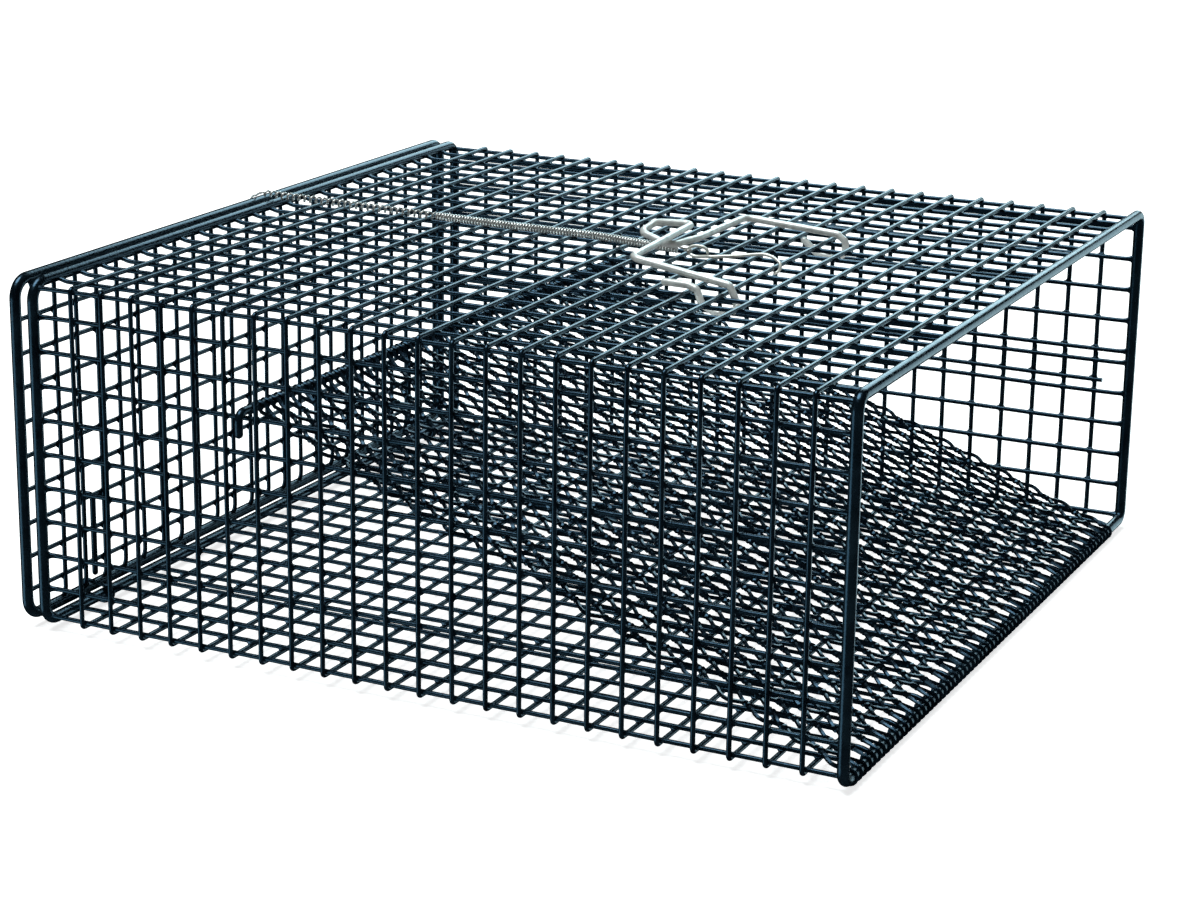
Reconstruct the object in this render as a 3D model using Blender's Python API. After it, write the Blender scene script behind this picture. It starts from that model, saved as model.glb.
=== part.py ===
"""Crayfish trap of welded wire mesh: a sleeve on two rod frames, a netting ramp and a sprung door.

Metres, +Z up, +X towards the open mouth, -Y the side nearest the viewer. The trap stands at z = 0
on the wires that are bent round its bottom bars, with the origin at the middle of its footprint.
"""
import math

import bmesh
import bpy
from mathutils import Vector

# Mesh: coated wire welded in squares, line wires lengthwise inside, cross wires outside them
SLEEVE_LENGTH = 0.4572
SQUARES_LONG = 24
SLEEVE_WIDTH = 0.4572
SLEEVE_HEIGHT = 0.1842
MESH_WIRE = 0.0024
WIRE_SIDES = 6
RAIL_SWELL = 1.06
SEAT_GAP = 0.0003

# Frames: three bent rods, one at the mouth, one at the rear and one round the door
FRAME_ROD = 0.0062
FRAME_OUTSET = 0.0028
FRAME_BEND = 0.0100
MOUTH_BEND = 0.0065
BEND_STEPS = 4
WRAP_PLAY = 0.0004
MOUTH_SET_OUT = 0.0020
REAR_SET_OUT = 0.0051
DOOR_STANDOFF = 0.0116
DOOR_LIFT = 0.0012

# Rows of line wires, as distances from the sleeve's corners, and the sheet's lap in the far wall
ROW_TO_CORNER = 0.0075
NEAR_ROW_FIRST = 0.0162
FAR_ROW_BELOW_TOP = 0.0045
FAR_LOWER_ROWS = 5
SEAM_LAP = 0.0120
CUT_WIRE_SHORT = 0.0125

# Ramp: hexagonal netting that rises from the mouth to a rod across the sleeve. Two lays of straight
# wires, which cross where its wires are twisted, keep its cells, and hooks at every second twist go
# over the mouth frame's bottom bar, down its front and under it, at these angles
NET_CELL = 0.0126
NET_ROW = 0.01015
NET_WIRE = 0.0016
NET_EDGE_WIRE = 0.0022
NET_EDGE_LIFT = 0.0003
NET_SIDES = 4
NET_NEAR_EDGE = 0.0031
NET_FAR_EDGE = 0.0257
NET_LEAST_SHARE = 0.03
RAMP_WRAP = (67.5, 22.5, -22.5, -67.5, -112.5, -157.5)
RAMP_ROD = 0.0050
RAMP_ROD_STATION = 6.6
RAMP_NEAR_REST_ROW = 6
RAMP_FAR_REST_ROW = 3
ROD_END_DROP = 0.0135
ROD_END_BEND = 0.0045

# Door: its own mesh inside the door frame
DOOR_LEVEL_FIRST = 0.0143
DOOR_UPRIGHT_FIRST = 0.0099

# Hinges: a wire wound round both bottom bars, and a stay wire on the door above it
HINGE_TURNS = 2
HINGE_AT_ROW = 2
DOOR_STAY_WIRE = 0.0034
DOOR_STAY_CLEARANCE = 0.0085
DOOR_STAY_AT_ROW = 2
DOOR_STAY_OVER = 0.0052
DOOR_STAY_BEND = 0.0024

# Closing spring along the top, its last part drawn aside by the stay wire that holds its end
SPRING_WIRE = 0.0014
SPRING_RADIUS = 0.0018
SPRING_Y = 0.0052
SPRING_DRAWN_ASIDE = 0.0097
SPRING_OPEN_CURLS = 16
SPRING_CLOSE_CURLS = 36
CURL_POINTS = 8
SPRING_OPEN_TO = 5.6
SPRING_DOWN_AT = 8.0
SPRING_ASIDE_FROM = 11.0
SPRING_END_AT = 13.95
LINK_PLAY = 0.0004

# Spring stay: its eye in front of the spring's end, and its shank from there to the anchor wire, as
# places (from the anchor wire towards the mouth, y, above the cross wires' middle)
STAY_WIRE = 0.0018
STAY_EYE_AHEAD = 0.0125
STAY_EYE_LENGTH = 0.0056
STAY_EYE_RADIUS = 0.0029
STAY_EYE_UP = 0.0043
STAY_EYE_Y = -0.0060
STAY_EYE_LEAN = 0.0012
STAY_SHANK = (
    (-0.0381, -0.0086, 0.0026),
    (-0.0350, -0.0085, 0.0028),
    (-0.0230, -0.0045, 0.0038),
    (-0.0143, -0.0022, 0.0050),
    (-0.0082, -0.0012, 0.0056),
    (-0.0031, -0.0014, 0.0048),
)
STAY_HOOK_RADIUS = 0.0030
STAY_HOOK_NEAR_Y = -0.0065
STAY_HOOK_FAR_Y = -0.0022
ANCHOR_AT = 17

# Handle: one bent wire with a rope eye, hung on the anchor wire by a loop at each foot. The bow's
# corners are (out from the anchor wire, y, off the bow's sloping plane, bend radius), and the
# loops' corners are (from the anchor wire towards the mouth, above it, bend radius)
HANDLE_WIRE = 0.0040
HANDLE_NEAR_ROW = 7
HANDLE_FAR_ROW = -8
HANDLE_PLAY = 0.0006
HANDLE_FOOT_UP = 0.0042
HANDLE_RISE = 0.0072
HANDLE_REACH = 0.0546
HANDLE_FAR_REACH = 0.0504
HANDLE_BEND = 0.0052
HANDLE_NEAR_OFF = 0.0017
HANDLE_FAR_OFF = -0.0026
ROPE_EYE = (
    (0.0580, 0.0160, 0.0024, 0.0035),
    (0.0762, 0.0055, 0.0012, 0.0075),
    (0.0770, -0.0125, -0.0012, 0.0060),
    (0.0562, -0.0200, -0.0026, 0.0060),
    (0.0514, 0.0080, -0.0026, 0.0120),
)
NEAR_FOOT = (
    (0.0024, 0.0043, 0.0030),
    (0.0054, -0.0015, 0.0060),
    (0.0076, -0.0074, 0.0030),
)
NEAR_TAIL = (
    (0.0076, -0.0074, 0.0030),
    (0.0000, -0.0100, 0.0040),
    (-0.0095, -0.0060, 0.0040),
    (-0.0128, 0.0020, 0.0030),
    (-0.0180, 0.0038, 0.0040),
    (-0.0312, 0.0040, 0.0),
)
FAR_FOOT = (
    (0.0060, 0.0043, 0.0040),
    (0.0112, 0.0005, 0.0040),
    (0.0110, -0.0065, 0.0040),
    (0.0040, -0.0100, 0.0050),
    (-0.0060, -0.0080, 0.0050),
    (-0.0140, -0.0012, 0.0),
)

# Heights and planes worked out from the sizes above
SQUARE = SLEEVE_LENGTH / SQUARES_LONG
LAYER = MESH_WIRE + SEAT_GAP
NET_LAYER = (NET_EDGE_WIRE + NET_WIRE) / 2 + NET_EDGE_LIFT + SEAT_GAP
WRAP_RADIUS = FRAME_ROD / 2 + WRAP_PLAY + MESH_WIRE / 2
FRAME_LOW_Z = WRAP_RADIUS + MESH_WIRE / 2
FLOOR_LINE_Z = FRAME_LOW_Z + FRAME_OUTSET
FLOOR_CROSS_Z = FLOOR_LINE_Z - LAYER
TOP_LINE_Z = FLOOR_LINE_Z + SLEEVE_HEIGHT
TOP_CROSS_Z = TOP_LINE_Z + LAYER
FRAME_HIGH_Z = TOP_LINE_Z + FRAME_OUTSET
LINE_Y = SLEEVE_WIDTH / 2
CROSS_Y = LINE_Y + LAYER
FRAME_Y = LINE_Y + FRAME_OUTSET
SPRING_LOOP_RADIUS = FRAME_ROD / 2 + LINK_PLAY + SPRING_WIRE / 2
MESH_START_X = -(SLEEVE_LENGTH + MOUTH_SET_OUT - REAR_SET_OUT - DOOR_STANDOFF) / 2
MOUTH_X = MESH_START_X + SLEEVE_LENGTH + MOUTH_SET_OUT
REAR_X = MESH_START_X - REAR_SET_OUT
DOOR_X = REAR_X - DOOR_STANDOFF
DOOR_LOW_Z = FRAME_LOW_Z + DOOR_LIFT
ROD_CLEAR = FRAME_ROD / 2 + SEAT_GAP
RAIL_CLEAR = ROD_CLEAR + MESH_WIRE / 2 * RAIL_SWELL

COATING = ("green_black_coating", (0.012, 0.045, 0.050), 0.28, 0.0)
BARE_STEEL = ("bare_spring_steel", (0.62, 0.61, 0.57), 0.30, 1.0)
GALVANISED = ("galvanised_wire", (0.80, 0.81, 0.76), 0.38, 0.9)


def station_x(number):
    """The x of a cross wire, counted in squares from the rear frame."""
    return MESH_START_X + number * SQUARE


def wire_places(first, last):
    """Places a square apart, from the first up to the last or just short of it."""
    count = int((last - first) / SQUARE + 0.001) + 1
    return [first + number * SQUARE for number in range(count)]


def empty_scene():
    for item in list(bpy.data.objects):
        bpy.data.objects.remove(item)
    for name in ("crayfish_trap", "joining_wires"):
        bpy.context.scene.collection.children.link(bpy.data.collections.new(name))


def material_for(part_name, finish):
    finish_name, colour, roughness, metallic = finish
    material = bpy.data.materials.new(part_name + "_" + finish_name)
    material.use_nodes = True
    shader = material.node_tree.nodes["Principled BSDF"]
    shader.inputs["Base Color"].default_value = (*colour, 1.0)
    shader.inputs["Roughness"].default_value = roughness
    shader.inputs["Metallic"].default_value = metallic
    return material


def place(name, data, finish):
    piece = bpy.data.objects.new(name, data)
    data.materials.append(material_for(name, finish))
    bpy.data.collections["crayfish_trap"].objects.link(piece)
    return piece


def tube_curve(name, paths, diameter, sides, closed=False):
    """Round wires along these lists of points, with capped ends."""
    data = bpy.data.curves.new(name, "CURVE")
    data.dimensions = "3D"
    data.twist_mode = "MINIMUM"
    data.bevel_depth = diameter / 2
    data.bevel_resolution = (sides - 4) // 2
    data.use_fill_caps = True
    for points in paths:
        spline = data.splines.new("POLY")
        spline.points.add(len(points) - 1)
        for point, position in zip(spline.points, points):
            point.co = (*position, 1.0)
        spline.use_cyclic_u = closed
    return data


def welded_mesh(curve):
    """The mesh of a wire curve, with its caps joined to it."""
    holder = bpy.data.objects.new(curve.name, curve)
    bpy.data.collections["joining_wires"].objects.link(holder)
    evaluated = holder.evaluated_get(bpy.context.evaluated_depsgraph_get())
    data = bpy.data.meshes.new_from_object(evaluated)
    bpy.data.objects.remove(holder)
    shape = bmesh.new()
    shape.from_mesh(data)
    bmesh.ops.remove_doubles(shape, verts=shape.verts, dist=0.00001)
    shape.to_mesh(data)
    shape.free()
    data.shade_smooth()
    data.set_sharp_from_angle(angle=math.radians(65))
    return data


def join_wires(piece, wires, diameter, sides):
    """Welds these wires into a piece."""
    name = piece.name + "_joined"
    wire_mesh = welded_mesh(tube_curve(name, wires, diameter, sides))
    wire_piece = bpy.data.objects.new(name, wire_mesh)
    wire_piece.hide_render = True
    wire_piece.display_type = "WIRE"
    bpy.data.collections["joining_wires"].objects.link(wire_piece)
    weld = piece.modifiers.new("weld", "BOOLEAN")
    weld.operation = "UNION"
    weld.solver = "EXACT"
    weld.object = wire_piece


def comb(name, wires, rail):
    """A row of mesh wires, welded at one end into the wire that crosses them there."""
    rail_mesh = welded_mesh(tube_curve(name, [rail], MESH_WIRE * RAIL_SWELL, WIRE_SIDES))
    rail_piece = place(name, rail_mesh, COATING)
    join_wires(rail_piece, wires, MESH_WIRE, WIRE_SIDES)


def rounded_path(corners, radii, steps=BEND_STEPS, closed=False):
    """The points of a wire bent through these corners, each bend an arc of its radius."""
    corners = [Vector(corner) for corner in corners]
    count = len(corners)
    points = []
    for index, corner in enumerate(corners):
        if not closed and index in (0, count - 1):
            points.append(corner)
            continue
        radius = radii[index] if isinstance(radii, list) else radii
        back = (corners[index - 1] - corner).normalized()
        ahead = (corners[(index + 1) % count] - corner).normalized()
        half = back.angle(ahead) / 2
        reach = radius / math.tan(half)
        middle = corner + (back + ahead).normalized() * radius / math.sin(half)
        first = (corner + back * reach - middle).normalized()
        last = (corner + ahead * reach - middle).normalized()
        for step in range(steps + 1):
            points.append(middle + first.slerp(last, step / steps) * radius)
    return points


def around_bar(x, y, z, degrees):
    """Points of a wire bent round a frame bar along Y, an eighth of a turn apart."""
    radius = WRAP_RADIUS / math.cos(math.pi / 8)
    points = []
    for angle in degrees:
        turn = math.radians(angle)
        points.append(Vector((x + radius * math.cos(turn), y, z + radius * math.sin(turn))))
    return points


def upright_arc(x, y, z, radius, degrees):
    """Points of a wire bent in an upright plane along X; 0 degrees is straight above the middle."""
    points = []
    for angle in degrees:
        turn = math.radians(angle)
        points.append(Vector((x + radius * math.sin(turn), y, z + radius * math.cos(turn))))
    return points


def bent_wire(name, points, diameter, finish, sides=8, closed=False):
    """A single wire along the points, as a piece of its own."""
    place(name, tube_curve(name, [points], diameter, sides, closed), finish)


def make_frame(name, x, low_z, bend):
    """A rod bent into a closed upright rectangle that the sleeve or the door mesh ends on."""
    corners = [
        (x, -FRAME_Y, low_z),
        (x, FRAME_Y, low_z),
        (x, FRAME_Y, FRAME_HIGH_Z),
        (x, -FRAME_Y, FRAME_HIGH_Z),
    ]
    points = rounded_path(corners, bend, closed=True)
    bent_wire(name, points, FRAME_ROD, COATING, closed=True)


def line_comb(name, rows, short_row=None, joined_at_mouth=False):
    """Lengthwise wires at these (y, z) rows, joined beside the rear frame or the mouth frame."""
    rail_x = MOUTH_X - RAIL_CLEAR if joined_at_mouth else REAR_X + RAIL_CLEAR
    end_x = REAR_X + ROD_CLEAR if joined_at_mouth else MOUTH_X - ROD_CLEAR
    wires = []
    for index, (y, z) in enumerate(rows):
        stop = end_x - (CUT_WIRE_SHORT if index == short_row else 0.0)
        wires.append(((rail_x, y, z), (stop, y, z)))
    half = MESH_WIRE / 2
    rail = (Vector((rail_x, *rows[0])), Vector((rail_x, *rows[-1])))
    past = (rail[1] - rail[0]).normalized() * half
    comb(name, wires, (rail[0] - past, rail[1] + past))


def cross_comb(name, joined, free):
    """Cross wires at every station, joined along the sleeve's corner at one end."""
    free_end = Vector(free)
    joined_end = Vector(joined)
    back_off = (joined_end - free_end).normalized() * (MESH_WIRE / 2 * RAIL_SWELL + SEAT_GAP)
    free_end = free_end + back_off
    wires = []
    for number in range(1, SQUARES_LONG):
        shift = Vector((station_x(number), 0, 0))
        wires.append((joined_end + shift, free_end + shift))
    rail = (
        joined_end + Vector((REAR_X + ROD_CLEAR, 0, 0)),
        joined_end + Vector((MOUTH_X - ROD_CLEAR, 0, 0)),
    )
    comb(name, wires, rail)


def top_rows():
    return wire_places(-LINE_Y + SQUARE, LINE_Y - ROW_TO_CORNER)


def near_rows():
    return wire_places(FLOOR_LINE_Z + NEAR_ROW_FIRST, TOP_LINE_Z - ROW_TO_CORNER)


def far_lower_rows():
    return [FLOOR_LINE_Z + number * SQUARE for number in range(1, FAR_LOWER_ROWS + 1)]


def far_upper_rows():
    """The rows of the sheet's upper edge, which laps over its lower edge in the far wall."""
    lowest = far_lower_rows()[-1] - SEAM_LAP
    return wire_places(lowest, TOP_LINE_Z - FAR_ROW_BELOW_TOP)[::-1]


def make_sleeve():
    """The mesh sheet wrapped round the frames, wall by wall."""
    across = wire_places(-LINE_Y, LINE_Y)
    line_comb("top_line_wires", [(y, TOP_LINE_Z) for y in across])
    line_comb("floor_line_wires", [(y, FLOOR_LINE_Z) for y in across], joined_at_mouth=True)
    line_comb("near_side_line_wires", [(-LINE_Y, z) for z in near_rows()])
    cut_row = far_upper_rows()[-1]
    heights = sorted(far_upper_rows() + far_lower_rows(), reverse=True)
    rows = [(LINE_Y, z) for z in heights]
    line_comb("far_side_line_wires", rows, short_row=heights.index(cut_row))

    low, high = FLOOR_CROSS_Z, TOP_CROSS_Z
    cross_comb("top_cross_wires", (0, -CROSS_Y, high), (0, CROSS_Y, high))
    cross_comb("near_side_cross_wires", (0, -CROSS_Y, low), (0, -CROSS_Y, high))
    cross_comb("floor_cross_wires", (0, CROSS_Y, low), (0, -CROSS_Y, low))
    cross_comb("far_side_cross_wires", (0, CROSS_Y, high), (0, CROSS_Y, low))


def ramp_rod_z(y):
    """The height of the ramp rod's centre: it lies on one line wire of each side wall."""
    above = MESH_WIRE / 2 + SEAT_GAP + RAMP_ROD / 2
    near = near_rows()[RAMP_NEAR_REST_ROW] + above
    far = far_upper_rows()[RAMP_FAR_REST_ROW] + above
    share = (y + LINE_Y) / SLEEVE_WIDTH
    return near + (far - near) * share


def net_point(y, share, lift):
    """A point of the netting, at this share of the way from the mouth frame's bar to the rod."""
    low = around_bar(MOUTH_X, y, FRAME_LOW_Z, RAMP_WRAP[:1])[0]
    rod = Vector((station_x(RAMP_ROD_STATION), y, ramp_rod_z(y)))
    along = (low - rod).normalized()
    high = rod + along * (RAMP_ROD / 2 + SEAT_GAP)
    return low.lerp(high, share) + Vector((-along.z, 0, along.x)) * lift


def net_cells():
    return int((SLEEVE_WIDTH - NET_NEAR_EDGE - NET_FAR_EDGE) / NET_CELL + 0.001)


def net_lay(name, side, lift, low_share):
    """One lay of the netting, joined along the mouth and along the edge that its wires leave.

    The wires of side 1 climb towards the far wall and those of side -1 towards the near wall.
    """
    width = net_cells() * NET_CELL
    near_y = -LINE_Y + NET_NEAR_EDGE
    start_y = near_y if side > 0 else near_y + width
    slope = (net_point(0, 1, 0) - net_point(0, 0, 0)).length
    drift = NET_CELL / 2 / NET_ROW * slope
    wires = []
    for number in range(-math.ceil(drift / NET_CELL), net_cells()):
        across = (number + 0.5) * NET_CELL
        first = max(low_share, -across / drift)
        last = min(1.0, (width - across) / drift)
        if last - first > NET_LEAST_SHARE:
            ends = []
            for share in (first, last):
                ends.append(net_point(start_y + side * (across + drift * share), share, lift))
            wires.append(ends)
    edge_lift = lift + NET_EDGE_LIFT
    edge = (
        net_point(start_y, 1.0, edge_lift),
        net_point(start_y, low_share, edge_lift),
        net_point(start_y + side * width, low_share, edge_lift),
    )
    lay = place(name, welded_mesh(tube_curve(name, [edge], NET_EDGE_WIRE, WIRE_SIDES)), COATING)
    join_wires(lay, wires, NET_WIRE, NET_SIDES)
    return lay


def make_ramp():
    """The ramp's netting, hooked round the mouth frame's bar, and the rod at its upper edge."""
    lower_lay = net_lay("ramp_net_lower_lay", 1, 0.0, 0.0)
    hooks = []
    for number in range(0, net_cells(), 2):
        y = -LINE_Y + NET_NEAR_EDGE + (number + 0.5) * NET_CELL
        hooks.append(around_bar(MOUTH_X, y, FRAME_LOW_Z, RAMP_WRAP))
    join_wires(lower_lay, hooks, MESH_WIRE, WIRE_SIDES)
    slope = (net_point(0, 1, 0) - net_point(0, 0, 0)).length
    net_lay("ramp_net_upper_lay", -1, NET_LAYER, MESH_WIRE / slope)

    x = station_x(RAMP_ROD_STATION)
    outside = CROSS_Y + MESH_WIRE / 2 + SEAT_GAP + RAMP_ROD / 2
    near_z = ramp_rod_z(-outside)
    far_z = ramp_rod_z(outside)
    corners = [
        (x, -outside, near_z - ROD_END_DROP),
        (x, -outside, near_z),
        (x, outside, far_z),
        (x, outside, far_z - ROD_END_DROP),
    ]
    bent_wire("ramp_rod", rounded_path(corners, ROD_END_BEND), RAMP_ROD, COATING)


def upright_places():
    return wire_places(-LINE_Y + DOOR_UPRIGHT_FIRST, LINE_Y - ROW_TO_CORNER)


def level_places():
    return wire_places(DOOR_LOW_Z + DOOR_LEVEL_FIRST, FRAME_HIGH_Z - FRAME_ROD - ROW_TO_CORNER)


def make_door_mesh():
    """The door's level wires in the frame's plane and its upright wires on their inner side."""
    near_y = -FRAME_Y + RAIL_CLEAR
    far_y = FRAME_Y - ROD_CLEAR
    levels = level_places()
    level_wires = [((DOOR_X, near_y, z), (DOOR_X, far_y, z)) for z in levels]
    half = MESH_WIRE / 2
    rail = ((DOOR_X, near_y, levels[0] - half), (DOOR_X, near_y, levels[-1] + half))
    comb("door_level_wires", level_wires, rail)

    x = DOOR_X + LAYER
    top_z = FRAME_HIGH_Z - RAIL_CLEAR
    low_z = DOOR_LOW_Z + ROD_CLEAR
    across = upright_places()
    uprights = [((x, y, top_z), (x, y, low_z)) for y in across]
    rail = ((x, across[0] - half, top_z), (x, across[-1] + half, top_z))
    comb("door_upright_wires", uprights, rail)


def make_hinge(side_name, side):
    """One hinge: the wire wound round both bottom bars, and the door's stay wire above it."""
    line_y = top_rows()[HINGE_AT_ROW if side < 0 else -HINGE_AT_ROW]
    wire_step = MESH_WIRE + SEAT_GAP
    start_y = line_y + side * wire_step
    inner_angles = [112.5 - 45 * step for step in range(6)]
    outer_angles = [-67.5 - 45 * step for step in range(6)]
    points = []
    for turn in range(HINGE_TURNS):
        points += around_bar(REAR_X, start_y, FRAME_LOW_Z, inner_angles)
        points += around_bar(DOOR_X, start_y, DOOR_LOW_Z, outer_angles)
    points = points[:-3]
    climb = side * wire_step / (len(inner_angles) + len(outer_angles))
    for index, point in enumerate(points):
        point.y += climb * index
    bent_wire("hinge_clip_" + side_name, points, MESH_WIRE, COATING)

    upright_y = upright_places()[HINGE_AT_ROW if side < 0 else -HINGE_AT_ROW - 1]
    y = upright_y - side * (MESH_WIRE / 2 + SEAT_GAP + DOOR_STAY_WIRE / 2)
    stay_x = DOOR_X + LAYER + MESH_WIRE / 2 + SEAT_GAP + DOOR_STAY_WIRE / 2
    hook_z = level_places()[DOOR_STAY_AT_ROW] + MESH_WIRE / 2 + SEAT_GAP + DOOR_STAY_WIRE / 2
    hook_x = DOOR_X - DOOR_STAY_OVER + DOOR_STAY_WIRE / 2
    corners = [
        (stay_x, y, DOOR_LOW_Z + DOOR_STAY_CLEARANCE),
        (stay_x, y, hook_z),
        (hook_x, y, hook_z),
        (hook_x, y, hook_z - DOOR_STAY_OVER),
    ]
    points = rounded_path(corners, DOOR_STAY_BEND, steps=3)
    bent_wire("hinge_stay_" + side_name, points, DOOR_STAY_WIRE, COATING)


def spring_axis(x):
    """The spring's middle line: over the rear frame's bar, then down on the mesh and aside."""
    outside = SEAT_GAP + SPRING_RADIUS + SPRING_WIRE / 2
    over_frame = FRAME_HIGH_Z + FRAME_ROD / 2 + outside
    on_mesh = TOP_CROSS_Z + MESH_WIRE / 2 + outside
    down_x = station_x(SPRING_DOWN_AT)
    aside_x = station_x(SPRING_ASIDE_FROM)
    down = min(1.0, max(0.0, (x - REAR_X) / (down_x - REAR_X)))
    aside = max(0.0, (x - aside_x) / (station_x(SPRING_END_AT) - aside_x))
    y = SPRING_Y - SPRING_DRAWN_ASIDE * aside
    return Vector((x, y, over_frame + (on_mesh - over_frame) * down))


def make_spring():
    """The closing spring: curls drawn open near the door and close wound over the rest."""
    open_from = DOOR_X + FRAME_ROD / 2 + SPRING_WIRE
    open_to = station_x(SPRING_OPEN_TO)
    close_to = station_x(SPRING_END_AT)
    curls = SPRING_OPEN_CURLS + SPRING_CLOSE_CURLS
    open_pitch = (open_to - open_from) / SPRING_OPEN_CURLS
    close_pitch = (close_to - open_to) / SPRING_CLOSE_CURLS
    points = []
    for step in range(curls * CURL_POINTS + 1):
        turns = step / CURL_POINTS
        if turns < SPRING_OPEN_CURLS:
            x = open_from + turns * open_pitch
        else:
            x = open_to + (turns - SPRING_OPEN_CURLS) * close_pitch
        angle = turns * math.tau
        ring = Vector((0, math.sin(angle), math.cos(angle)))
        points.append(spring_axis(x) + ring * SPRING_RADIUS)

    link = STAY_WIRE / 2 + LINK_PLAY + SPRING_WIRE / 2
    eye = stay_eye_centre() - Vector((STAY_EYE_LENGTH, 0, 0))
    points.append(Vector((eye.x - 2 * link, eye.y + link, eye.z)))
    for degrees in range(105, -166, -30):
        angle = math.radians(degrees)
        points.append(eye + Vector((math.cos(angle), math.sin(angle), 0)) * link)
    bent_wire("door_spring", points, SPRING_WIRE, BARE_STEEL, sides=6)

    over_bar = range(-165, 1, 15)
    hook = upright_arc(DOOR_X, SPRING_Y, FRAME_HIGH_Z, SPRING_LOOP_RADIUS, over_bar)
    end = spring_axis(open_from) - Vector((SPRING_WIRE, 0, 0))
    hook.append(hook[-1].lerp(end, 0.5))
    hook.append(end)
    bent_wire("spring_door_hook", hook, SPRING_WIRE, BARE_STEEL, sides=6)


def stay_eye_centre():
    """The middle of the eye that the spring's end is hooked into."""
    x = station_x(SPRING_END_AT) + STAY_EYE_AHEAD
    return Vector((x, STAY_EYE_Y, TOP_CROSS_Z + STAY_EYE_UP))


def make_spring_stay():
    """The wire between the spring and the anchor wire: an upright eye, a shank and a hook."""
    points = []
    for degrees in range(-10, 301, 31):
        angle = math.radians(degrees)
        lean = STAY_EYE_LEAN * (1 - degrees / 145)
        points.append(stay_eye_centre() + Vector((
            STAY_EYE_LENGTH * math.cos(angle),
            lean,
            STAY_EYE_RADIUS * math.sin(angle),
        )))
    anchor_x = station_x(ANCHOR_AT)
    for along, y, above in STAY_SHANK:
        points.append(Vector((anchor_x + along, y, TOP_CROSS_Z + above)))
    hook = upright_arc(anchor_x, 0, TOP_CROSS_Z, STAY_HOOK_RADIUS, range(15, 166, 30))
    for index, point in enumerate(hook):
        share = index / (len(hook) - 1)
        point.y = STAY_HOOK_FAR_Y + (STAY_HOOK_NEAR_Y - STAY_HOOK_FAR_Y) * share
    bent_wire("spring_stay", points + hook, STAY_WIRE, BARE_STEEL, sides=6)


def bow_corner(out, y, off):
    """A corner of the handle's bow, out from the anchor wire towards the door."""
    rise = HANDLE_FOOT_UP + HANDLE_RISE * out / HANDLE_REACH
    return Vector((station_x(ANCHOR_AT) - out, y, TOP_CROSS_Z + rise + off))


def foot_corners(table, y):
    """Corners of a loop round the anchor wire, each with its bend radius."""
    x = station_x(ANCHOR_AT)
    return [(Vector((x + along, y, TOP_CROSS_Z + above)), bend) for along, above, bend in table]


def make_handle():
    """The handle's single wire, from the near foot's tail to the far foot's end.

    The near foot hooks under a line wire, from one side of it to the other.
    """
    beside = HANDLE_WIRE / 2 + MESH_WIRE / 2 + HANDLE_PLAY
    near_row = top_rows()[HANDLE_NEAR_ROW]
    near_y = near_row + beside
    far_y = top_rows()[HANDLE_FAR_ROW] - beside
    bends = foot_corners(NEAR_TAIL, near_row - beside)[::-1]
    bends += foot_corners(NEAR_FOOT, near_y)[::-1]
    bends.append((bow_corner(HANDLE_REACH, near_y, HANDLE_NEAR_OFF), HANDLE_BEND))
    for out, y, off, bend in ROPE_EYE:
        bends.append((bow_corner(out, y, off), bend))
    bends.append((bow_corner(HANDLE_FAR_REACH, far_y, HANDLE_FAR_OFF), HANDLE_BEND))
    bends += foot_corners(FAR_FOOT, far_y)
    points = rounded_path([corner for corner, bend in bends], [bend for corner, bend in bends], steps=3)
    bent_wire("handle", points, HANDLE_WIRE, GALVANISED)


empty_scene()
make_frame("mouth_frame", MOUTH_X, FRAME_LOW_Z, MOUTH_BEND)
make_frame("rear_frame", REAR_X, FRAME_LOW_Z, FRAME_BEND)
make_frame("door_frame", DOOR_X, DOOR_LOW_Z, FRAME_BEND)
make_sleeve()
make_ramp()
make_door_mesh()
make_hinge("near", -1)
make_hinge("far", 1)
make_spring()
make_spring_stay()
make_handle()
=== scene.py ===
"""Crayfish trap: a coated mesh sleeve on two rod frames, a ramp mouth, a sprung door and a handle."""
import math
import random

import bmesh
import bpy
from mathutils import Matrix, Vector, noise


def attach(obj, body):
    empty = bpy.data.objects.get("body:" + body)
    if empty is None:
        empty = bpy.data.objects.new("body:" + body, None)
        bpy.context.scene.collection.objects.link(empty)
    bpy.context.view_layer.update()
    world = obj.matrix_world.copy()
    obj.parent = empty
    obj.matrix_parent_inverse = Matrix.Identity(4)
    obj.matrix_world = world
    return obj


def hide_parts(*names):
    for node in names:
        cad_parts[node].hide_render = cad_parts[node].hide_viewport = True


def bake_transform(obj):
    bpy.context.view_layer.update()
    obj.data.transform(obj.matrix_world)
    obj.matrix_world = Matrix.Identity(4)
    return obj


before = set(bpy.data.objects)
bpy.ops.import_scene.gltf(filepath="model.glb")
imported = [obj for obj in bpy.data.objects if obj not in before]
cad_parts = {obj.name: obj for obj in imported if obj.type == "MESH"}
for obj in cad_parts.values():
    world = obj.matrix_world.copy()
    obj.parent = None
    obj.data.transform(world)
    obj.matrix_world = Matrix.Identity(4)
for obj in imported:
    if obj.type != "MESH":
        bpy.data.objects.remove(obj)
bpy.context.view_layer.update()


# Rod frames
# Three steel rods, each bent into a closed rectangle and dipped in dark green vinyl. The mesh sleeve
# is welded inside the mouth frame and the rear frame, and the third rod is the frame of the door.
ROD = 0.0062
FRAME_HALF_WIDTH = 0.2314
FRAME_HIGH = 0.1957
FRAME_LOW = 0.0059
DOOR_LOW = 0.0071
MOUTH_X = 0.23795
REAR_X = -0.22635
DOOR_X = -0.23795
BEND_STEPS = 8
ROD_SIDES = 20


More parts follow.
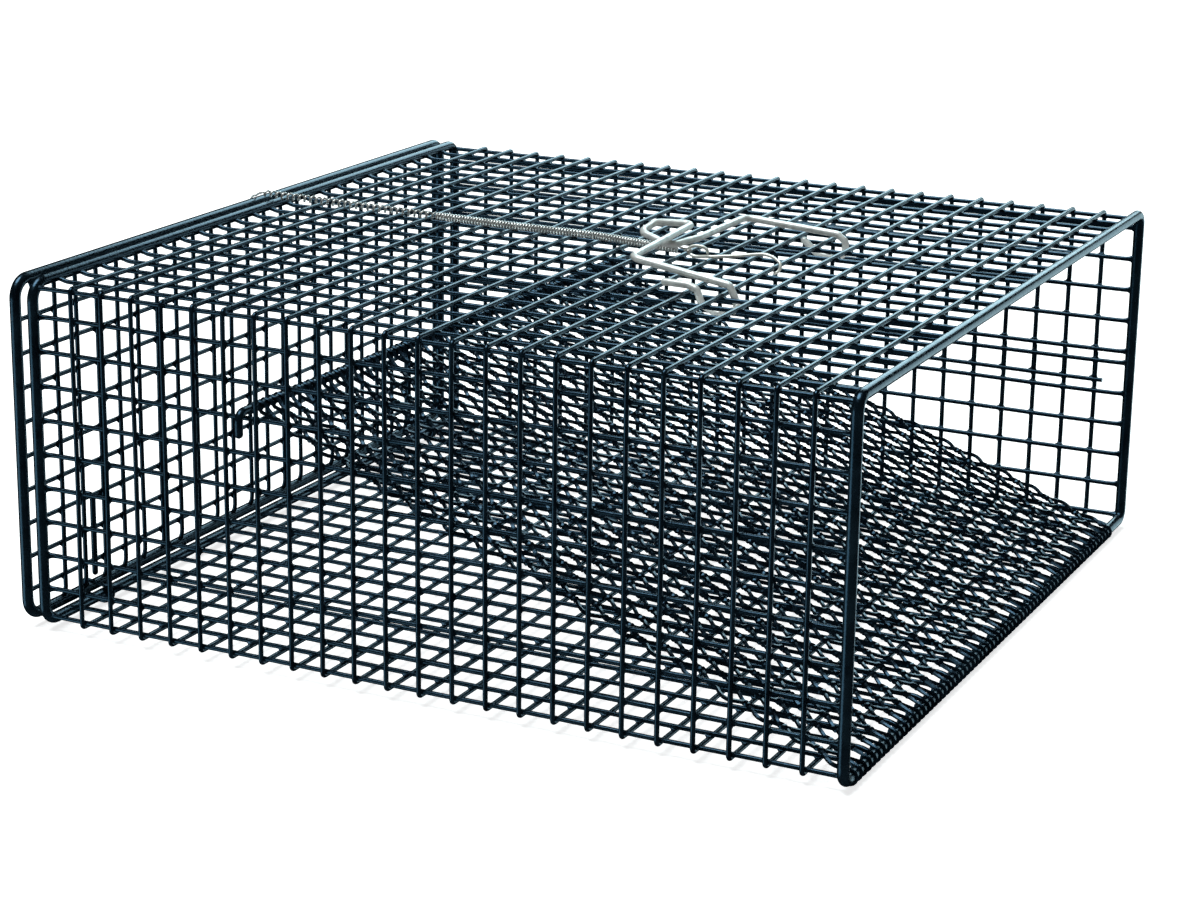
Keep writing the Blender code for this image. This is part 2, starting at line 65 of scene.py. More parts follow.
def bent_path(corners, radii, steps, closed=False):
    """The points of a wire bent through these corners, each bend an arc of one radius or of its own."""
    corners = [Vector(corner) for corner in corners]
    points = []
    for index, corner in enumerate(corners):
        if not closed and index in (0, len(corners) - 1):
            points.append(corner)
            continue
        radius = radii[index] if isinstance(radii, list) else radii
        back = (corners[index - 1] - corner).normalized()
        ahead = (corners[(index + 1) % len(corners)] - corner).normalized()
        half = back.angle(ahead) / 2
        middle = corner + (back + ahead).normalized() * radius / math.sin(half)
        first = (corner + back * radius / math.tan(half) - middle).normalized()
        last = (corner + ahead * radius / math.tan(half) - middle).normalized()
        for step in range(steps + 1):
            points.append(middle + first.slerp(last, step / steps) * radius)
    return points


def add_wire(shape, points, thickness, sides, across=None, closed=False):
    """Sweeps a ring along the points. The thickness is a diameter, or a (width, depth) for each point
    with the width lying along the direction across."""
    count = len(points)
    if isinstance(thickness, float):
        thickness = [(thickness, thickness)] * count
    directions = []
    for index, point in enumerate(points):
        before = index if (index or closed) else 1
        after = index + 1 if (index < count - 1 or closed) else index
        back = (points[before] - points[before - 1]).normalized()
        ahead = (points[after % count] - points[after - 1]).normalized()
        directions.append((back + ahead).normalized())
    side = Vector(across) if across else directions[0].orthogonal()
    side = (side - directions[0] * side.dot(directions[0])).normalized()
    places = []
    for index, direction in enumerate(directions):
        if index:
            side.rotate(directions[index - 1].rotation_difference(direction))
        through = direction.cross(side)
        width, depth = thickness[index]
        turned = Matrix((side * width / 2, through * depth / 2, direction)).transposed()
        places.append(Matrix.Translation(points[index]) @ turned.to_4x4())
    wire = bmesh.new()
    bmesh.ops.create_circle(wire, cap_ends=not closed, radius=1.0, segments=sides, matrix=places[0])
    first_ring = ring = list(wire.edges)
    for before, after in zip(places, places[1:]):
        grown = bmesh.ops.extrude_edge_only(wire, edges=ring)["geom"]
        verts = {item for item in grown if isinstance(item, bmesh.types.BMVert)}
        edges = [item for item in grown if isinstance(item, bmesh.types.BMEdge)]
        ring = [edge for edge in edges if verts.issuperset(edge.verts)]
        bmesh.ops.transform(wire, matrix=after @ before.inverted(), verts=list(verts))
    if closed:
        bmesh.ops.bridge_loops(wire, edges=first_ring + ring)
    else:
        bmesh.ops.contextual_create(wire, geom=ring)
    bmesh.ops.recalc_face_normals(wire, faces=wire.faces)
    swept = bpy.data.meshes.new("swept")
    wire.to_mesh(swept)
    wire.free()
    shape.from_mesh(swept)
    bpy.data.meshes.remove(swept)


def vinyl_coating(name, deep, light):
    """Dipped vinyl: near black, a colour that drifts where the coat is thin, and a soft orange peel."""
    material = bpy.data.materials.new(name)
    material.use_nodes = True
    nodes = material.node_tree.nodes
    link = material.node_tree.links.new
    shader = nodes["Principled BSDF"]
    shader.inputs["Specular IOR Level"].default_value = 0.60
    shader.inputs["Specular Tint"].default_value = (0.32, 0.66, 1.0, 1.0)
    place = nodes.new("ShaderNodeTexCoord").outputs["Object"]
    drift = nodes.new("ShaderNodeTexNoise")
    drift.inputs["Scale"].default_value = 60.0
    drift.inputs["Detail"].default_value = 3.0
    link(place, drift.inputs["Vector"])
    tone = nodes.new("ShaderNodeValToRGB")
    tone.color_ramp.elements[0].position = 0.35
    tone.color_ramp.elements[0].color = (*deep, 1.0)
    tone.color_ramp.elements[1].position = 0.70
    tone.color_ramp.elements[1].color = (*light, 1.0)
    link(drift.outputs["Fac"], tone.inputs["Fac"])
    link(tone.outputs["Color"], shader.inputs["Base Color"])
    smear = nodes.new("ShaderNodeTexNoise")
    smear.inputs["Scale"].default_value = 260.0
    smear.inputs["Detail"].default_value = 2.0
    link(place, smear.inputs["Vector"])
    gloss = nodes.new("ShaderNodeMapRange")
    gloss.inputs["To Min"].default_value = 0.14
    gloss.inputs["To Max"].default_value = 0.34
    link(smear.outputs["Fac"], gloss.inputs["Value"])
    link(gloss.outputs["Result"], shader.inputs["Roughness"])
    peel = nodes.new("ShaderNodeTexNoise")
    peel.inputs["Scale"].default_value = 700.0
    peel.inputs["Detail"].default_value = 2.0
    link(place, peel.inputs["Vector"])
    bump = nodes.new("ShaderNodeBump")
    bump.inputs["Strength"].default_value = 0.5
    bump.inputs["Distance"].default_value = 0.0002
    link(peel.outputs["Fac"], bump.inputs["Height"])
    link(bump.outputs["Normal"], shader.inputs["Normal"])
    return material


def make_piece(name, shape, material):
    """An object of this shape, smooth round its wires and sharp at their cut ends."""
    data = bpy.data.meshes.new(name)
    shape.to_mesh(data)
    shape.free()
    data.shade_smooth()
    data.set_sharp_from_angle(angle=math.radians(60))
    data.materials.append(material)
    piece = bpy.data.objects.new(name, data)
    bpy.context.scene.collection.objects.link(piece)
    return piece


rod_coating = vinyl_coating("rod_coating", deep=(0.0012, 0.0028, 0.0045), light=(0.004, 0.009, 0.013))
for name, x, low, bend, stands_for, body in (
    ("mouth_rod", MOUTH_X, FRAME_LOW, 0.0065, "mouth_frame", "root"),
    ("rear_rod", REAR_X, FRAME_LOW, 0.0100, "rear_frame", "root"),
    ("door_rod", DOOR_X, DOOR_LOW, 0.0100, "door_frame", "door"),
):
    corners = [
        (x, -FRAME_HALF_WIDTH, low),
        (x, FRAME_HALF_WIDTH, low),
        (x, FRAME_HALF_WIDTH, FRAME_HIGH),
        (x, -FRAME_HALF_WIDTH, FRAME_HIGH),
    ]
    shape = bmesh.new()
    add_wire(shape, bent_path(corners, bend, BEND_STEPS, closed=True), ROD, ROD_SIDES, closed=True)
    rod = make_piece(name, shape, rod_coating)
    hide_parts(stands_for)
    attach(rod, body)


# Sleeve, line wires
# Steel wires that run lengthwise on the inside of the mesh. Each is welded to the rear rod and the
# mouth rod, where the coating flows out into a web, and the sheet's corners are bent over four of them.
SQUARE = 0.01905
SQUARES = 24
SIDE_ROWS = 9
MESH_WIRE = 0.0026
MESH_SIDES = 10
MESH_START_X = -0.22125
LINE_Y = 0.2286
TOP_LINE = 0.1929
FLOOR_LINE = 0.0087
NEAR_LOWEST = 0.0249
FAR_HIGHEST = 0.1872
TOP_ROWS = [-LINE_Y + SQUARE * number for number in range(1, SQUARES)]
NEAR_ROWS = [NEAR_LOWEST + SQUARE * number for number in range(SIDE_ROWS)]
FAR_UPPER_ROWS = [FAR_HIGHEST - SQUARE * number for number in range(6)]
FAR_LOWER_ROWS = [FLOOR_LINE + SQUARE * number for number in range(1, 6)]
CUT_SHORT = 0.0159
SWAY = 0.0005
SWAY_SCALE = 12.0
SWAY_SEED = 5
# The web at a rod: the distance from the rod's middle, the wire's width and depth, and its rise there.
WEB = (
    (0.0012, 0.0046, 0.0024, 0.0013),
    (0.0024, 0.0050, 0.0024, 0.0013),
    (0.0029, 0.0042, 0.0025, 0.0012),
    (0.0035, 0.0034, 0.0026, 0.0010),
    (0.0044, 0.0029, 0.0026, 0.0007),
    (0.0057, 0.0027, 0.0026, 0.0003),
    (0.0080, 0.0026, 0.0026, 0.0000),
)
# Unseeded, the noise would start from the clock and the mesh would lie otherwise in each run.
noise.seed_set(SWAY_SEED)


def sway(point):
    """How far the mesh stands off its true grid there."""
    return noise.noise_vector(point * SWAY_SCALE) * SWAY


def welded_run(start, end, places, outward, end_web=True):
    """The points and thicknesses of a straight mesh wire between two rods, webbed into them."""
    start, end, outward = Vector(start), Vector(end), Vector(outward)
    along = (end - start).normalized()
    run = [(start + along * far + outward * rise, (width, depth)) for far, width, depth, rise in WEB]
    run += [(start.lerp(end, share), (MESH_WIRE, MESH_WIRE)) for share in places]
    if end_web:
        for far, width, depth, rise in reversed(WEB):
            run.append((end - along * far + outward * rise, (width, depth)))
    else:
        run.append((end, (MESH_WIRE, MESH_WIRE)))
    return [point + sway(point) for point, size in run], [size for point, size in run]


mesh_coating = vinyl_coating("mesh_coating", deep=(0.0010, 0.0024, 0.0040), light=(0.0035, 0.008, 0.012))
stations = [MESH_START_X + SQUARE * number for number in range(1, SQUARES)]
shape = bmesh.new()
diagonal = math.sqrt(0.5)
line_rows = [(y, TOP_LINE, (0, 1, 0), (0, 0, 1)) for y in TOP_ROWS]
line_rows += [(y, FLOOR_LINE, (0, 1, 0), (0, 0, -1)) for y in TOP_ROWS]
line_rows += [(-LINE_Y, z, (0, 0, 1), (0, -1, 0)) for z in NEAR_ROWS]
line_rows += [(LINE_Y, z, (0, 0, 1), (0, 1, 0)) for z in FAR_UPPER_ROWS + FAR_LOWER_ROWS]
for side in (-1, 1):
    line_rows.append((side * LINE_Y, TOP_LINE, (0, diagonal, -side * diagonal), (0, 0, 0)))
    line_rows.append((side * LINE_Y, FLOOR_LINE, (0, diagonal, side * diagonal), (0, 0, 0)))
for y, z, across, outward in line_rows:
    cut = (y, z) == (LINE_Y, FAR_UPPER_ROWS[-1])
    end_x = MOUTH_X - CUT_SHORT if cut else MOUTH_X
    shares = [(x - REAR_X) / (end_x - REAR_X) for x in stations]
    points, sizes = welded_run((REAR_X, y, z), (end_x, y, z), shares, outward, end_web=not cut)
    add_wire(shape, points, sizes, MESH_SIDES, across)
line_wires = make_piece("sleeve_line_wires", shape, mesh_coating)
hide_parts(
    "top_line_wires", "floor_line_wires", "near_side_line_wires", "far_side_line_wires"
)
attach(line_wires, "root")


# Sleeve, cross wires
# The outer layer of the mesh: each wire goes once round the sleeve, over the four corner wires, and
# its two ends pass side by side in the far wall, where the sheet's edges lap.
LAYER = 0.0022
CROSS_WIRE = 0.0027
CROSS_Y = LINE_Y + LAYER
TOP_CROSS = TOP_LINE + LAYER
FLOOR_CROSS = FLOOR_LINE - LAYER
LOWER_EDGE = 0.1085
UPPER_EDGE = 0.0892
LAP_ASIDE = 0.0010
LAP_OUT = 0.0018
CORNER_STEPS = 5


def smooth(value, low, high):
    """Rises from 0 at the low value to 1 at the high one, level at both ends."""
    share = min(1.0, max(0.0, (value - low) / (high - low)))
    return share * share * (3 - 2 * share)


def lap(z):
    """How far the sheet's upper edge has moved out over its lower edge at this height."""
    share = smooth(-z, -TOP_LINE, -LOWER_EDGE)
    return Vector((-LAP_ASIDE, LAP_OUT, 0)) * share


def round_corner(x, y, z, first_angle):
    """A quarter turn of a cross wire about the line wire at a corner of the sleeve."""
    points = []
    for step in range(CORNER_STEPS + 1):
        angle = math.radians(first_angle - 90 * step / CORNER_STEPS)
        points.append(Vector((x, y + LAYER * math.cos(angle), z + LAYER * math.sin(angle))))
    return points


shape = bmesh.new()
for x in stations:
    path = [Vector((x, CROSS_Y, LOWER_EDGE))]
    path += [Vector((x, CROSS_Y, z)) for z in reversed(FAR_LOWER_ROWS)]
    path += round_corner(x, LINE_Y, FLOOR_LINE, 0)
    path += [Vector((x, y, FLOOR_CROSS)) for y in reversed(TOP_ROWS)]
    path += round_corner(x, -LINE_Y, FLOOR_LINE, -90)
    path += [Vector((x, -CROSS_Y, z)) for z in NEAR_ROWS]
    path += round_corner(x, -LINE_Y, TOP_LINE, 180)
    path += [Vector((x, y, TOP_CROSS)) for y in TOP_ROWS]
    path += round_corner(x, LINE_Y, TOP_LINE, 90)
    path += [Vector((x, CROSS_Y, z)) + lap(z) for z in FAR_UPPER_ROWS + [UPPER_EDGE]]
    add_wire(shape, [point + sway(point) for point in path], CROSS_WIRE, MESH_SIDES, (1, 0, 0))
cross_wires = make_piece("sleeve_cross_wires", shape, mesh_coating)
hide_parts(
    "top_cross_wires", "floor_cross_wires", "near_side_cross_wires", "far_side_cross_wires"
)
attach(cross_wires, "root")


# Sleeve, weld coat
# Where two mesh wires cross they are welded, and the dip leaves a web of vinyl in the four corners,
# so each opening is a square with rounded corners. One bead of it is shaped here and set at each weld.
BEAD_ARM_HALF = 0.00115
BEAD_FILLET = 0.0013
BEAD_TILT = 0.0008
BEAD_EDGE_HALF = 0.0005
BEAD_TIP_HALF = 0.0003
BEAD_DOME = 0.00125
BEAD_SIZES = (0.90, 1.08)
BEAD_HEIGHTS = (0.95, 1.15)
ARC_STEPS = 4


def weld_bead():
    """A four-armed web, its arms tilted down along the line wire and up along the cross wire."""
    bead = bmesh.new()
    bmesh.ops.create_circle(bead, cap_ends=True, radius=1.0, segments=4 * (ARC_STEPS + 1))
    reach = BEAD_ARM_HALF + BEAD_FILLET
    bead.verts.ensure_lookup_table()
    halves = []
    for quarter in range(4):
        turn = Matrix.Rotation(math.radians(90 + 90 * quarter), 4, "Z")
        for step in range(ARC_STEPS + 1):
            angle = math.radians(90 * step / ARC_STEPS)
            corner = Vector((
                reach - BEAD_FILLET * math.sin(angle),
                reach - BEAD_FILLET * math.cos(angle),
                0,
            ))
            bead.verts[quarter * (ARC_STEPS + 1) + step].co = turn @ corner
            halves.append(BEAD_TIP_HALF if step in (0, ARC_STEPS) else BEAD_EDGE_HALF)
    low_rim = list(bead.verts)
    grown = bmesh.ops.extrude_face_region(bead, geom=list(bead.faces))["geom"]
    high_rim = [item for item in grown if isinstance(item, bmesh.types.BMVert)]
    for rim, up in ((low_rim, -1), (high_rim, 1)):
        for vert, half in zip(rim, halves):
            tilt = BEAD_TILT * (vert.co.y ** 2 - vert.co.x ** 2) / reach ** 2
            vert.co.z = tilt + up * half
    caps = [face for face in bead.faces if len(face.verts) > 4]
    for middle in bmesh.ops.poke(bead, faces=caps)["verts"]:
        middle.co.z = math.copysign(BEAD_DOME, middle.co.z)
    bmesh.ops.recalc_face_normals(bead, faces=bead.faces)
    data = bpy.data.meshes.new("bead")
    bead.to_mesh(data)
    bead.free()
    return data


def add_bead(shape, bead, at, line, cross, uneven, fold=None):
    """Sets a bead at a crossing, its line wire and cross wire in these directions."""
    line, cross = Vector(line), Vector(cross)
    out = line.cross(cross)
    copy = bead.copy()
    size = uneven.uniform(*BEAD_SIZES)
    copy.transform(Matrix.Diagonal((size, size, uneven.uniform(*BEAD_HEIGHTS), 1.0)))
    if fold:
        for vert in copy.vertices:
            vert.co = fold(vert.co)
    turned = Matrix((line, cross, out)).transposed().to_4x4()
    copy.transform(Matrix.Translation(Vector(at) + sway(Vector(at))) @ turned)
    shape.from_mesh(copy)
    bpy.data.meshes.remove(copy)


def fold_round_corner(co):
    """Folds a flat bead over a corner wire, whose centre lies half a layer under it."""
    quarter_half = LAYER * math.pi / 4
    along = min(quarter_half, max(-quarter_half, co.y))
    angle = along / LAYER
    radial = Vector((0, math.sin(angle), math.cos(angle)))
    tangent = Vector((0, math.cos(angle), -math.sin(angle)))
    folded = radial * (LAYER / 2 + co.z) + tangent * (co.y - along)
    return Vector((co.x, folded.y, folded.z))


uneven = random.Random(11)
bead = weld_bead()
shape = bmesh.new()
half_layer = LAYER / 2
for x in stations:
    for y in TOP_ROWS:
        add_bead(shape, bead, (x, y, TOP_LINE + half_layer), (1, 0, 0), (0, 1, 0), uneven)
        add_bead(shape, bead, (x, y, FLOOR_LINE - half_layer), (1, 0, 0), (0, -1, 0), uneven)
    for z in NEAR_ROWS:
        add_bead(shape, bead, (x, -LINE_Y - half_layer, z), (1, 0, 0), (0, 0, 1), uneven)
    for z in FAR_LOWER_ROWS:
        add_bead(shape, bead, (x, LINE_Y + half_layer, z), (1, 0, 0), (0, 0, -1), uneven)
    for z in FAR_UPPER_ROWS:
        spot = Vector((x, LINE_Y + half_layer, z)) + lap(z)
        add_bead(shape, bead, spot, (1, 0, 0), (0, 0, -1), uneven)
    for y, z, cross in (
        (-LINE_Y, TOP_LINE, (0, diagonal, diagonal)),
        (LINE_Y, TOP_LINE, (0, diagonal, -diagonal)),
        (-LINE_Y, FLOOR_LINE, (0, -diagonal, diagonal)),
        (LINE_Y, FLOOR_LINE, (0, -diagonal, -diagonal)),
    ):
        add_bead(shape, bead, (x, y, z), (1, 0, 0), cross, uneven, fold_round_corner)
weld_coat = make_piece("sleeve_weld_coat", shape, mesh_coating)
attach(weld_coat, "root")


# Ramp rod
# A straight coated rod that carries the upper edge of the ramp. It lies on one line wire of each side
# wall, and outside the mesh its ends are bent down so that it can't slide out.
RAMP_ROD = 0.0046
RAMP_ROD_X = -0.09552
RAMP_ROD_OUT = 0.2353
RAMP_ROD_DROP = 0.0135
RAMP_ROD_BEND = 0.0045
RAMP_ROD_Z = 0.13863
RAMP_ROD_TILT = 0.02001
END_STEP = 25


def ramp_rod_z(y):
    """The height of the rod's middle at this y, a little lower towards the far wall."""
    return RAMP_ROD_Z - RAMP_ROD_TILT * y


def dipped_end(points, sizes):
    """Rounds off the last end of a coated wire, where the dip leaves a drop."""
    direction = (points[-1] - points[-2]).normalized()
    width = sizes[-1][0]
    for step in (1, 2, 3):
        angle = math.radians(END_STEP * step)
        points.append(points[-1].copy())
        points[-1] += direction * width / 2 * (math.sin(angle) - math.sin(angle - math.radians(END_STEP)))
        sizes.append((width * math.cos(angle), width * math.cos(angle)))
    return points, sizes


def dipped_wire(shape, points, diameter, sides):
    """A wire with both of its ends rounded off, of one diameter or of one for each point."""
    diameters = diameter if isinstance(diameter, list) else [diameter] * len(points)
    points, sizes = dipped_end(list(points), [(size, size) for size in diameters])
    points, sizes = dipped_end(points[::-1], sizes[::-1])
    add_wire(shape, points, sizes, sides)


shape = bmesh.new()
corners = [
    (RAMP_ROD_X, -RAMP_ROD_OUT, ramp_rod_z(-RAMP_ROD_OUT) - RAMP_ROD_DROP + RAMP_ROD / 2),
    (RAMP_ROD_X, -RAMP_ROD_OUT, ramp_rod_z(-RAMP_ROD_OUT)),
    (RAMP_ROD_X, RAMP_ROD_OUT, ramp_rod_z(RAMP_ROD_OUT)),
    (RAMP_ROD_X, RAMP_ROD_OUT, ramp_rod_z(RAMP_ROD_OUT) - RAMP_ROD_DROP + RAMP_ROD / 2),
]
dipped_wire(shape, bent_path(corners, RAMP_ROD_BEND, BEND_STEPS), RAMP_ROD, sides=16)
ramp_rod = make_piece("ramp_bar", shape, rod_coating)
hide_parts("ramp_rod")
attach(ramp_rod, "root")


# Ramp netting
# Hexagonal netting of a thinner coated wire, cut from a roll. Each wire is twisted with its neighbour on
# one side, then with the one on the other side. The netting rises from the mouth frame's bottom bar to
# the ramp rod, its wires are wound thin round both, and two cut stubs stand at its near edge.
NET_WIRE = 0.0023
NET_WOUND = 0.0016
NET_CELL = 0.0126
NET_ROW = 0.01015
NET_ROWS = 34
NET_CELLS = 34
NET_NEAR_Y = -0.2255
NET_TWIST = 0.0046
NET_COIL = 0.00080
TWIST_STEPS = 5
NET_SIDES = 5
NET_SWAY = 2.0
NET_SHAKE = 0.0006
SHAKE_ACROSS = 0.7
SHAKE_BY_COLUMN = 1.7
SHAKE_BY_ROW = 2.3
SHAKE_LAYER = 4.0
BAR_WRAP = ROD / 2 + 0.0004
BAR_WOUND_TO = -205
BAR_SLANT = 0.0026
BAR_STEPS = 11
ROD_WRAP = RAMP_ROD / 2 + 0.0002
ROD_WOUND_TO = 380
ROD_SLANT = 0.0016
ROD_STEPS = 14
ROD_WOUND = NET_WOUND * 0.86
# Where the netting nears the rod: how far down the slope from its middle, and how far above it.
ROD_APPROACH = ((0.0060, 0.0008), (0.0030, 0.0026))
EDGE_ARC = 0.0120
EDGE_INSET = 0.0006
EDGE_RISE = 0.0038
STUB = 0.0016
STUB_ROWS = (27, 29)


def ramp_slope(y):
    """The netting at this y: where it leaves the bar, its direction up the slope and its normal."""
    bar = Vector((MOUTH_X, y, FRAME_LOW))
    rod = Vector((RAMP_ROD_X, y, ramp_rod_z(y)))
    gap = rod - bar
    lean = math.atan2(gap.z, -gap.x) - math.asin(BAR_WRAP / gap.length)
    up = Vector((-math.cos(lean), 0, math.sin(lean)))
    normal = Vector((math.sin(lean), 0, math.cos(lean)))
    return bar + normal * BAR_WRAP, up, normal


def twist(column, row, side, shares):
    """The points of one wire in a twist of the netting, its side 1 or -1 of the twist's middle."""
    low, up, normal = ramp_slope(NET_NEAR_Y + column * NET_CELL / 2)
    middle = low + up * NET_ROW * row
    shake = noise.noise_vector(Vector((column * SHAKE_BY_COLUMN, row * SHAKE_BY_ROW, SHAKE_LAYER)))
    middle += sway(middle) * NET_SWAY + Vector((shake.x, shake.y * SHAKE_ACROSS, shake.z)) * NET_SHAKE
    points = []
    # At an edge of the netting a wire has no neighbour, and runs in a low arc instead.
    if column in (0, 2 * NET_CELLS):
        for share in shares:
            inset = EDGE_INSET + EDGE_RISE * (2 * share - 1) ** 2
            points.append(middle + up * EDGE_ARC * (share - 0.5) + Vector((0, side, 0)) * inset)
        return points
    for share in shares:
        turn = math.tau * share
        aside = (Vector((0, 1, 0)) * math.cos(turn) + normal * math.sin(turn)) * NET_COIL * side
        points.append(middle + up * NET_TWIST * (share - 0.5) + aside)
    return points


def wound(middle, radius, low_angle, high_angle, slant, steps):
    """Points round a bar, from one angle to the other, moving along the bar as they go."""
    points = []
    for step in range(steps + 1):
        share = step / steps
        angle = math.radians(low_angle + (high_angle - low_angle) * share)
        points.append(middle + Vector((
            radius * math.cos(angle),
            slant * (share - 0.5),
            radius * math.sin(angle),
        )))
    return points


net_coating = vinyl_coating("net_coating", deep=(0.0010, 0.0022, 0.0038), light=(0.0035, 0.0075, 0.0115))
shape = bmesh.new()
twist_shares = [step / TWIST_STEPS for step in range(TWIST_STEPS + 1)]
for strand in range(2 * NET_CELLS):
    y = NET_NEAR_Y + (strand + 0.5) * NET_CELL / 2
    low, up, normal = ramp_slope(y)
    top_angle = math.degrees(math.atan2(normal.z, normal.x))
    bar = Vector((MOUTH_X, y, FRAME_LOW))
    rod = Vector((RAMP_ROD_X, y, ramp_rod_z(y)))
    path = wound(bar, BAR_WRAP, BAR_WOUND_TO, top_angle, BAR_SLANT, BAR_STEPS)
    sizes = [NET_WOUND] * len(path)
    for row in range(1, NET_ROWS + 1):
        column = strand + (strand + row + 1) % 2
        side = 1 if column == strand else -1
        path += twist(column, row, side, twist_shares)
    for back, lift in ROD_APPROACH:
        path.append(rod - up * back + normal * lift)
    sizes += [NET_WIRE] * (len(path) - len(sizes))
    path += wound(rod, ROD_WRAP, top_angle, top_angle + ROD_WOUND_TO, ROD_SLANT, ROD_STEPS)
    sizes += [ROD_WOUND] * (len(path) - len(sizes))
    dipped_wire(shape, path, sizes, NET_SIDES)
for row in STUB_ROWS:
    low, up, normal = ramp_slope(NET_NEAR_Y)
    root = low + up * NET_ROW * row
    tip = root - normal * STUB * 3 - up * STUB + Vector((0, STUB, 0))
    dipped_wire(shape, [root, root.lerp(tip, 0.5), tip], NET_WIRE, NET_SIDES)
netting = make_piece("ramp_netting", shape, net_coating)
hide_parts("ramp_net_lower_lay", "ramp_net_upper_lay")
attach(netting, "root")


# Door mesh
# A flat panel of the same mesh welded inside the door's rod: level wires in the rod's plane, upright
# wires on their inner side, with the same beads of coating at the welds and webs at the rod.
LOWEST_LEVEL = 0.0214
FIRST_UPRIGHT = -0.2187
LEVELS = [LOWEST_LEVEL + SQUARE * number for number in range(SIDE_ROWS)]
UPRIGHTS = [FIRST_UPRIGHT + SQUARE * number for number in range(SQUARES)]

shape = bmesh.new()
for z in LEVELS:
    shares = [(y + FRAME_HALF_WIDTH) / (2 * FRAME_HALF_WIDTH) for y in UPRIGHTS[1:-1]]
    start, end = (DOOR_X, -FRAME_HALF_WIDTH, z), (DOOR_X, FRAME_HALF_WIDTH, z)
    points, sizes = welded_run(start, end, shares, (0, 0, 0))
    add_wire(shape, points, sizes, MESH_SIDES, (0, 0, 1))
for y in UPRIGHTS:
    shares = [(z - DOOR_LOW) / (FRAME_HIGH - DOOR_LOW) for z in LEVELS]
    start, end = (DOOR_X + LAYER, y, DOOR_LOW), (DOOR_X + LAYER, y, FRAME_HIGH)
    points, sizes = welded_run(start, end, shares, (-1, 0, 0))
    add_wire(shape, points, sizes, MESH_SIDES, (0, 1, 0))
    for z in LEVELS:
        add_bead(shape, bead, (DOOR_X + half_layer, y, z), (0, 1, 0), (0, 0, 1), uneven)
door_mesh = make_piece("door_mesh", shape, mesh_coating)
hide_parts("door_level_wires", "door_upright_wires")
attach(door_mesh, "door")


# Hinges
# Each is a coated wire wound nearly twice round the bottom bars of the rear frame and the door, so
# that the door's bar turns in it. It stops short under that bar, clear of the swinging mesh.
HINGE_PITCH = 0.0027
HINGE_WIRE = 0.0024
HINGE_GAP = 0.0002
HINGE_WRAP = ROD / 2 + HINGE_GAP + HINGE_WIRE / 2
HINGE_TURNS = 2
HINGE_STEPS = 12
HINGE_STOPS_SHORT = 9
# How the wire goes round each bar: the bar's x and z, and the angles where the wire meets and leaves it.
HINGE_BARS = (
    (REAR_X, FRAME_LOW, 100, -100),
    (DOOR_X, DOOR_LOW, -80, -280),
)
HINGE_TURN_POINTS = len(HINGE_BARS) * (HINGE_STEPS + 1)

for side_name, side in (("near", -1), ("far", 1)):
    start_y = TOP_ROWS[2 if side < 0 else -2] + side * HINGE_PITCH
    path = []
    for turn in range(HINGE_TURNS):
        for x, z, meets, leaves in HINGE_BARS:
            path += wound(Vector((x, 0, z)), HINGE_WRAP, meets, leaves, 0, HINGE_STEPS)
    path = path[:-HINGE_STOPS_SHORT]
    for index, point in enumerate(path):
        point.y = start_y + side * HINGE_PITCH * index / HINGE_TURN_POINTS
    shape = bmesh.new()
    dipped_wire(shape, path, HINGE_WIRE, sides=12)
    clip = make_piece("hinge_wire_" + side_name, shape, mesh_coating)
    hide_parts("hinge_clip_" + side_name)
    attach(clip, "root")


# Stay wires
# A thicker coated wire beside one upright of the door, above each hinge. It runs up past the door's
# lowest rows and is hooked over the third level wire.
STAY_WIRE = 0.0034
STAY_HOOK = 0.0052
STAY_BEND = 0.0024
STAY_FOOT_UP = 0.0085
STAY_GAP = 0.0003
UPRIGHT_LAYER = 0.0027

for side_name, side in (("near", -1), ("far", 1)):
    y = UPRIGHTS[2 if side < 0 else -3] - side * (MESH_WIRE / 2 + STAY_GAP + STAY_WIRE / 2)
    stay_x = DOOR_X + UPRIGHT_LAYER + MESH_WIRE / 2 + STAY_GAP + STAY_WIRE / 2
    hook_z = LEVELS[2] + MESH_WIRE / 2 + STAY_GAP + STAY_WIRE / 2
    hook_x = DOOR_X - STAY_HOOK + STAY_WIRE / 2
    corners = [
        (stay_x, y, DOOR_LOW + STAY_FOOT_UP + STAY_WIRE / 2),
        (stay_x, y, hook_z),
        (hook_x, y, hook_z),
        (hook_x, y, hook_z - STAY_HOOK + STAY_WIRE / 2),
    ]
    shape = bmesh.new()
    dipped_wire(shape, bent_path(corners, STAY_BEND, steps=6), STAY_WIRE, sides=12)
    stay = make_piece("stay_wire_" + side_name, shape, mesh_coating)
    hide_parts("hinge_stay_" + side_name)
    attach(stay, "door")


# Door spring
# A long extension spring of bare steel wire that pulls the door shut. Its first hook goes round the
# door's top bar, the coil next to it is drawn open, and the rest lies close wound on the top mesh. Its
# far end is drawn a little aside by the stay wire, and its last hook lies flat in that wire's eye.
SPRING_WIRE = 0.0012
SPRING_RADIUS = 0.0018
SPRING_Y = 0.0052
SPRING_START = -0.23345
SPRING_OPEN_TO = -0.11457
SPRING_ASIDE_FROM = -0.01170
SPRING_END = 0.04450
SPRING_DOWN_AT = -0.06885
SPRING_ASIDE = 0.0097
SPRING_HIGH = 0.2016
SPRING_LOW = 0.1993
OPEN_TURNS = 30
CLOSE_TURNS = 84
TURN_POINTS = 12
FIRST_TURN_SHARE = 0.2
LEAD_RISE = 0.0006
SPRING_GAP = 0.0004
HOOK_LOOP = ROD / 2 + SPRING_GAP + SPRING_WIRE / 2
HOOK_FROM = -165
LINK_FROM = 105
LINK_TO = -165
LOOP_STEP = 15
EYE = Vector((0.0570, -0.0060, 0.1999))
EYE_HALF_LENGTH = 0.0056
EYE_HALF_HEIGHT = 0.0029
EYE_LEAN = 0.0012
